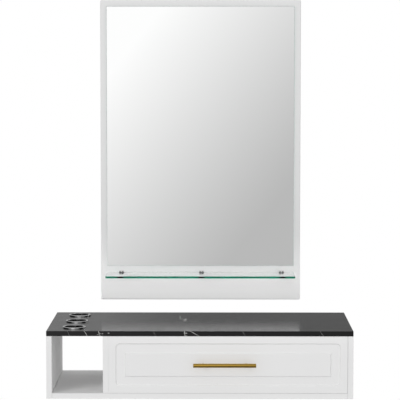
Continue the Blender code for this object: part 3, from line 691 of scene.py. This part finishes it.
def front_profile(thickness):
    """Insets, depths and corner radii of the drawer front's rings, from its back to its field."""
    step_foot = FRONT_MARGIN + ROUTED_STEP_RUN
    foot_corner = ROUTED_CORNER - ROUTED_STEP_RUN
    field = FRONT_MARGIN + ROUTED_BAND
    field_foot = field - FIELD_STEP_RUN
    profile = [(0, thickness, FRONT_ARRIS)]
    profile += [(inset, depth, FRONT_ARRIS) for inset, depth in quarter_round(FRONT_ARRIS, ARRIS_STEPS)]
    profile.append((FRONT_ARRIS + FRONT_SUPPORT, 0, FRONT_ARRIS))
    profile.append((FRONT_MARGIN - FRONT_SUPPORT, 0, ROUTED_CORNER + FRONT_SUPPORT))
    for step in range(EDGE_STEPS + 1):
        share = step / EDGE_STEPS
        run = ROUTED_STEP_RUN * share
        profile.append((FRONT_MARGIN + run, ROUTED_DEPTH * eased(share), ROUTED_CORNER - run))
    for share in BAND_SHARES:
        inset = step_foot + (field_foot - step_foot) * share
        depth = ROUTED_DEPTH + (FIELD_STEP - ROUTED_DEPTH) * share
        profile.append((inset, depth, foot_corner + (FIELD_CORNER - foot_corner) * share))
    for step in range(FIELD_STEPS + 1):
        share = step / FIELD_STEPS
        depth = FIELD_STEP * (1 - eased(share))
        profile.append((field_foot + FIELD_STEP_RUN * share, depth, FIELD_CORNER))
    profile.append((field + FRONT_SUPPORT, 0, FIELD_CORNER))
    return profile


def drawer_front():
    """Routed front: a rounded step down, a shallow slope up, and a raised field with crisp corners."""
    low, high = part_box("drawer_front")
    low.x -= FRONT_LEFT_REACH
    thickness = high.y - low.y
    bm = loft(front_rings(low, high, front_profile(thickness)))
    holes = []
    for side in SIDES:
        post_low, post_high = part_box(f"handle_post_{side}")
        middle = (post_low + post_high) / 2
        middle.y = (low.y + high.y) / 2
        holes.append(rod_mesh(SCREW_RADIUS + SEAT_GAP, 2 * thickness, facing((0, 1, 0), middle)))
    piece("drawer_front_routed", carved(bm, holes), "drawer", "white_board", ["drawer_front"])


def handle_bar():
    """Brushed bar with turned ends."""
    low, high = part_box("handle_bar")
    radius = (high.z - low.z) / 2
    length = high.x - low.x
    ends = quarter_round(HANDLE_CHAMFER, SMALL_EDGE_STEPS)
    profile = [(0, length / 2)]
    profile += [(radius - inset, length / 2 - depth) for inset, depth in reversed(ends)]
    profile += [(radius - inset, depth - length / 2) for inset, depth in ends]
    profile.append((0, -length / 2))
    bm = turned(profile, BAR_STEPS, facing((1, 0, 0), (low + high) / 2))
    bar = piece("handle_bar_brushed", bm, "drawer", "brass", ["handle_bar"])
    bar.visible_shadow = False


def handle_posts():
    """Posts that are saddled to the bar."""
    bar_low, bar_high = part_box("handle_bar")
    bar_middle = (bar_low + bar_high) / 2
    saddle_radius = (bar_high.z - bar_low.z) / 2 + SEAT_GAP
    for side in SIDES:
        node = f"handle_post_{side}"
        low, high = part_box(node)
        middle = (low + high) / 2
        radius = (high.x - low.x) / 2
        foot = []
        saddle = []
        for step in range(SCREW_STEPS):
            angle = 2 * math.pi * step / SCREW_STEPS
            x = middle.x + radius * math.cos(angle)
            up = radius * math.sin(angle)
            foot.append((x, high.y, bar_middle.z + up))
            behind_bar = math.sqrt(saddle_radius ** 2 - up * up)
            saddle.append((x, bar_middle.y + behind_bar, bar_middle.z + up))
        piece(f"{node}_turned", loft([foot, saddle]), "drawer", "brass", [node])


# Mirror unit

def mirror_panel():
    """Panel with rounded front edges."""
    low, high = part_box("mirror_panel")
    thickness = high.y - low.y
    profile = [(PANEL_BACK_ARRIS, thickness, PANEL_CORNER)]
    profile.append((0, thickness - PANEL_BACK_ARRIS, PANEL_CORNER))
    for inset, depth in quarter_round(PANEL_EDGE_RADIUS):
        profile.append((inset, depth, PANEL_CORNER - inset))
    bm = loft(front_rings(low, high, profile))
    panel = piece("mirror_panel_rounded", bm, "station", "white_board", ["mirror_panel"])
    # The panel takes the darker white, a painted shade for its dimmer light.
    panel.data.materials[0] = SHADED_WHITE_PANEL


def mirror_glass():
    """Mirror with a polished arris and a green edge."""
    low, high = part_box("mirror_glass")
    thickness = high.y - low.y
    corner = MIRROR_ARRIS
    profile = [(0, thickness, corner), (0, MIRROR_ARRIS, corner), (MIRROR_ARRIS, 0, corner)]
    bm = loft(front_rings(low, high, profile))
    for face in bm.faces:
        on_rim = all(vert.co.y > low.y + MIRROR_ARRIS / 2 for vert in face.verts)
        face.material_index = 1 if on_rim else 0
    glass = piece("mirror_glass_polished", bm, "station", "mirror", ["mirror_glass"], [GLASS_EDGE])
    glass.visible_shadow = False


def mirror_bumpers():
    """Moulded discs behind the panel's lower edge, rounded towards the wall."""
    for side in SIDES:
        node = f"mirror_bumper_{side}"
        low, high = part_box(node)
        radius = (high.x - low.x) / 2
        thickness = high.y - low.y
        edge = quarter_round(BUMPER_EDGE, BUMPER_EDGE_STEPS)
        profile = [(0, thickness)]
        profile += [(radius - inset, thickness - depth) for inset, depth in reversed(edge)]
        profile += [(radius, 0), (0, 0)]
        place = ((low.x + high.x) / 2, low.y, (low.z + high.z) / 2)
        bm = turned(profile, SCREW_STEPS, facing((0, 1, 0), place))
        piece(f"{node}_moulded", bm, "station", "black_rubber", [node])


def glass_shelf():
    """Clear shelf with eased corners and a green polished edge."""
    low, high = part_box("glass_shelf")
    middle = (low + high) / 2
    size = high - low
    levels = [(SHELF_ARRIS, low.z), (0, low.z + SHELF_ARRIS)]
    levels += [(0, high.z - SHELF_ARRIS), (SHELF_ARRIS, high.z)]
    rings = []
    for inset, z in levels:
        outline = rounded_rectangle(size.x - 2 * inset, size.y - 2 * inset, SHELF_CORNER - inset)
        rings.append([(middle.x + x, middle.y + y, z) for x, y in outline])
    bm = loft(rings)
    for face in bm.faces:
        levels_met = {round(vert.co.z, 6) for vert in face.verts}
        face.material_index = 1 if len(levels_met) > 1 else 0
    shelf = piece("glass_shelf_polished", bm, "station", "clear_glass", ["glass_shelf"], [GLASS_EDGE])
    shelf.visible_shadow = False
    shelf.visible_diffuse = False


def clip_rings(low, high):
    """Rings of a clip with a round nose, softened above and below."""
    half = (high.x - low.x) / 2
    middle_x = (low.x + high.x) / 2
    edge = quarter_round(CLIP_EDGE, SMALL_EDGE_STEPS)
    levels = [(inset, low.z + depth) for inset, depth in reversed(edge)]
    levels += [(inset, high.z - depth) for inset, depth in edge]
    rings = []
    for inset, z in levels:
        radius = half - inset
        ring = [(middle_x + radius, high.y, z), (middle_x - radius, high.y, z)]
        for step in range(SCREW_STEPS + 1):
            angle = math.pi * (1 + step / SCREW_STEPS)
            x = middle_x + radius * math.cos(angle)
            ring.append((x, low.y + half + radius * math.sin(angle), z))
        rings.append(ring)
    return rings


def shelf_clips():
    """Chrome clips, slotted for the lined glass and drilled for their screws."""
    glass_low, glass_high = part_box("glass_shelf")
    level = (glass_low.z + glass_high.z) / 2
    for clip in CLIPS:
        node = f"shelf_clip_{clip}"
        low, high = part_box(node)
        half = (high.x - low.x) / 2
        slot_half = (high.z - low.z) / 2 - CLIP_JAW
        slot = box_mesh(
            (low.x - half, low.y - half, level - slot_half),
            (high.x + half, high.y - CLIP_BACK_WALL, level + slot_half),
        )
        screw_low, screw_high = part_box(f"shelf_clip_screw_{clip}")
        hole_middle = (screw_low + screw_high) / 2
        hole_middle.z = level - slot_half - 2 * CLIP_JAW + CLIP_HOLE_OVERRUN
        hole = rod_mesh(SCREW_RADIUS + SEAT_GAP, 4 * CLIP_JAW, Matrix.Translation(hole_middle))
        bm = carved(loft(clip_rings(low, high)), [slot, hole])
        piece(f"{node}_polished", bm, "station", "chrome", [node])


# Screws

def hex_socket(head_radius, head_height, matrix):
    """Cutter for a hex socket in a screw's head."""
    depth = head_height * DRIVE_DEPTH
    socket = matrix @ Matrix.Translation((0, 0, head_height)) @ Matrix.Rotation(HEX_TURN, 4, "Z")
    return [rod_mesh(head_radius * HEX_SHARE, 2 * depth, socket, HEX_SIDES)]


def cross_slot(head_radius, head_height, matrix):
    """Cutters for a cross slot in a screw's head."""
    depth = head_height * DRIVE_DEPTH
    blades = []
    for across, along in ((CROSS_WIDTH, CROSS_REACH), (CROSS_REACH, CROSS_WIDTH)):
        blade = box_mesh(
            (-across * head_radius, -along * head_radius, head_height - depth),
            (across * head_radius, along * head_radius, head_height + depth),
        )
        bmesh.ops.transform(blade, matrix=matrix, verts=blade.verts)
        blades.append(blade)
    return blades


def screw(name, head_radius, head_height, shank, place, direction, body, slot, drive, replaces=()):
    """Domed screw whose head rests at a place and points along a direction, with a cut drive."""
    dome = head_height * DOME_SHARE
    profile = [(0, head_height)]
    for step in range(DOME_STEPS + 1):
        angle = math.pi / 2 * step / DOME_STEPS
        radius = head_radius * (CROWN_SHARE + (1 - CROWN_SHARE) * math.sin(angle))
        profile.append((radius, head_height - dome * (1 - math.cos(angle))))
    profile += [(head_radius, 0), (SCREW_RADIUS, 0), (SCREW_RADIUS, -shank), (0, -shank)]
    matrix = facing(direction, place)
    cutters = drive(head_radius, head_height, matrix)
    piece(name, carved(turned(profile, SCREW_STEPS, matrix), cutters), body, slot, replaces)


def handle_screws():
    """Screws from inside the drawer into the handle's posts."""
    inner_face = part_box("drawer_inner_front")[1].y + SEAT_GAP
    for side in SIDES:
        node = f"handle_screw_{side}"
        low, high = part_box(node)
        place = ((low.x + high.x) / 2, inner_face, (low.z + high.z) / 2)
        screw(
            f"{node}_crosshead", (high.x - low.x) / 2, high.y - inner_face, inner_face - low.y,
            place, (0, 1, 0), "drawer", "zinc_steel", cross_slot, [node],
        )


def clip_screws():
    """Set screws under the shelf's clips."""
    for clip in CLIPS:
        node = f"shelf_clip_screw_{clip}"
        low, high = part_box(node)
        seat = low.z + CLIP_SCREW_HEIGHT
        place = ((low.x + high.x) / 2, (low.y + high.y) / 2, seat)
        screw(
            f"{node}_socket", (high.x - low.x) / 2, CLIP_SCREW_HEIGHT, high.z - seat,
            place, (0, 0, -1), "station", "chrome", hex_socket, [node],
        )


def slide_screws():
    """Low screws in the slides' cabinet and drawer members."""
    for side, inward in (("left", 1), ("right", -1)):
        for member, body, toward in (("cabinet", "station", inward), ("drawer", "drawer", -inward)):
            low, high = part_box(f"slide_{side}_{member}_member")
            web_back = low.x if toward > 0 else high.x
            level = (low.z + high.z) / 2
            for end, y in (("front", low.y + SLIDE_HOLE_INSET), ("rear", high.y - SLIDE_HOLE_INSET)):
                place = (web_back + toward * SCREW_SEAT, y, level)
                screw(
                    f"slide_{side}_{member}_screw_{end}", SLIDE_SCREW_HEAD, SLIDE_SCREW_HEIGHT,
                    SLIDE_SCREW_SHANK, place, (toward, 0, 0), body, "zinc_steel", cross_slot,
                )


def rail_screws():
    """Screws through the hook rail into the panel."""
    low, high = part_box("mirror_hook_rail")
    plate_back = low.y + RAIL_SHEET
    for side, x in (("left", low.x + RAIL_HOLE_INSET), ("right", high.x - RAIL_HOLE_INSET)):
        place = (x, plate_back + SCREW_SEAT, high.z - RAIL_PLATE / 2)
        screw(
            f"hook_rail_screw_{side}", RAIL_SCREW_HEAD, RAIL_SCREW_HEIGHT, RAIL_SHEET,
            place, (0, 1, 0), "station", "zinc_steel", cross_slot,
        )


# Studio

def card_light(tree, x, z):
    """Brightness of the card, which grows towards its upper left and fades below it."""
    across = math_node(tree, "MULTIPLY", x, CARD_ACROSS)
    toward_corner = math_node(tree, "MULTIPLY_ADD", z, CARD_UP, across)
    share = ramp(tree, toward_corner, *CARD_RANGE, smooth=False)
    curved = math_node(tree, "POWER", share, CARD_CURVE)
    card = ramp(tree, curved, 0, 1, *CARD_LEVELS, smooth=False)
    return math_node(tree, "MULTIPLY", card, ramp(tree, z, *BELOW_RANGE, 1.0, BELOW_SHARE))


def side_light(tree, x, y, z):
    """Brightness of the dim sides, grey beside the card and pale low down."""
    sides = ramp(tree, x, *SIDE_RANGE, *SIDE_LEVELS)
    beside = ramp(tree, math_node(tree, "ABSOLUTE", x), *LOW_SIDE_EDGE, 0.0, LOW_SIDE_LEVEL)
    low_sides = math_node(tree, "MULTIPLY", ramp(tree, z, *LOW_SIDE_RANGE), beside)
    front_sides = ramp(tree, y, *FRONT_SIDE_EDGE, 0.0, FRONT_SIDE_LEVEL)
    level = math_node(tree, "MAXIMUM", sides, low_sides)
    return math_node(tree, "MAXIMUM", level, front_sides)


def room_light(tree):
    """Brightness that polished surfaces see in each direction."""
    direction = add(tree, "ShaderNodeTexCoord").outputs["Generated"]
    x, y, z = add(tree, "ShaderNodeSeparateXYZ", {0: direction}).outputs
    from_middle = math_node(tree, "ABSOLUTE", math_node(tree, "SUBTRACT", x, CARD_MIDDLE))
    before = ramp(tree, y, *CARD_FACE)
    on_card = math_node(tree, "MULTIPLY", ramp(tree, from_middle, *CARD_EDGE), before)
    level = between(tree, on_card, side_light(tree, x, y, z), card_light(tree, x, z))
    behind = ramp(tree, x, *BEHIND_RANGE, *BEHIND_LEVELS)
    level = between(tree, ramp(tree, y, *BEHIND_EDGE), level, behind)
    return between(tree, ramp(tree, z, *ABOVE_RANGE), level, ABOVE_LEVEL)


def seen_white(tree, rays):
    """1 for rays from the camera and through glass, which see the white background."""
    return math_node(tree, "ADD", rays["Is Camera Ray"], rays["Is Transmission Ray"], clamp=True)


def world():
    """White background, even soft light, and the room that polished surfaces mirror."""
    made = bpy.data.worlds.new("studio")
    bpy.context.scene.world = made
    made.use_nodes = True
    tree = made.node_tree
    tree.nodes.clear()
    rays = add(tree, "ShaderNodeLightPath").outputs
    direction = add(tree, "ShaderNodeTexCoord").outputs["Generated"]
    parts = add(tree, "ShaderNodeSeparateXYZ", {0: direction}).outputs
    soft = ramp(tree, parts["Z"], *SOFT_RANGE, *SOFT_LEVELS)
    soft = between(tree, ramp(tree, parts["Y"], *SOFT_BEHIND_EDGE), soft, SOFT_BEHIND)
    lighting = between(tree, rays["Is Glossy Ray"], soft, room_light(tree))
    strength = between(tree, seen_white(tree, rays), lighting, 1.0)
    background = add(tree, "ShaderNodeBackground", {"Color": (1, 1, 1, 1), "Strength": strength})
    add(tree, "ShaderNodeOutputWorld", {"Surface": background.outputs[0]})


def floor_look():
    """Pale matt floor that fades into the white background towards its rim."""
    made, tree, shader = new_material("studio_floor", Roughness=0.9)
    place = place_of(tree)
    clouds = noise(tree, place, scale=3)
    feed(tree, shader, Base_Color=mixed(tree, clouds, (0.84, 0.84, 0.84), (0.88, 0.88, 0.88)))
    radius = add(tree, "ShaderNodeVectorMath", {0: place}, operation="LENGTH").outputs["Value"]
    fade = ramp(tree, radius, *FLOOR_FADE)
    rays = add(tree, "ShaderNodeLightPath").outputs
    share = math_node(tree, "MULTIPLY", fade, seen_white(tree, rays))
    white = add(tree, "ShaderNodeEmission")
    blend = add(tree, "ShaderNodeMixShader", {0: share, 1: shader.outputs[0], 2: white.outputs[0]})
    tree.links.new(blend.outputs[0], tree.nodes["Material Output"].inputs["Surface"])
    return made


def floor():
    """Round floor far below the station."""
    bm = bmesh.new()
    bmesh.ops.create_circle(bm, cap_ends=True, segments=ROUND_STEPS, radius=FLOOR_RADIUS)
    mesh = bpy.data.meshes.new("studio_floor")
    bm.to_mesh(mesh)
    bm.free()
    mesh.materials.append(floor_look())
    obj = bpy.data.objects.new("studio_floor", mesh)
    obj.location = (0, FLOOR_MIDDLE, FLOOR_LEVEL)
    obj.visible_glossy = False
    obj.visible_diffuse = False
    bpy.context.scene.collection.objects.link(obj)


def area_light(name, place, aim, size, power):
    """Soft light aimed at the station, which polished surfaces don't show."""
    light = bpy.data.lights.new(name, "AREA")
    light.size = size
    light.energy = power
    obj = bpy.data.objects.new(name, light)
    obj.location = place
    obj.rotation_euler = (Vector(aim) - Vector(place)).to_track_quat("-Z", "Y").to_euler()
    obj.visible_glossy = False
    bpy.context.scene.collection.objects.link(obj)
    return light


def apron_light():
    """Low strip of light that lifts the panel's apron, which the black counter would leave dull."""
    width, height = APRON_LIGHT_SIZE
    light = area_light("apron_light", APRON_LIGHT_PLACE, APRON_LIGHT_AIM, width, APRON_LIGHT_POWER)
    light.shape = "RECTANGLE"
    light.size_y = height
    light.spread = APRON_LIGHT_SPREAD


def camera():
    """Camera at the photograph's viewing angle."""
    data = bpy.data.cameras.new("camera")
    data.sensor_width = CAMERA_SENSOR
    data.lens = CAMERA_LENS
    obj = bpy.data.objects.new("camera", data)
    obj.location = CAMERA_PLACE
    obj.rotation_euler = (math.pi / 2 - CAMERA_PITCH, 0, CAMERA_YAW)
    bpy.context.scene.collection.objects.link(obj)
    bpy.context.scene.camera = obj


camera()
finish_cad_nodes()
tool_rings()
drawer_front()
handle_bar()
handle_posts()
mirror_panel()
mirror_glass()
mirror_bumpers()
glass_shelf()
shelf_clips()
handle_screws()
clip_screws()
slide_screws()
rail_screws()
world()
floor()
area_light("key_light", KEY_PLACE, KEY_AIM, KEY_SIZE, KEY_POWER)
area_light("fill_light", FILL_PLACE, FILL_AIM, FILL_SIZE, FILL_POWER)
apron_light()
bpy.context.scene.view_settings.view_transform = "Standard"
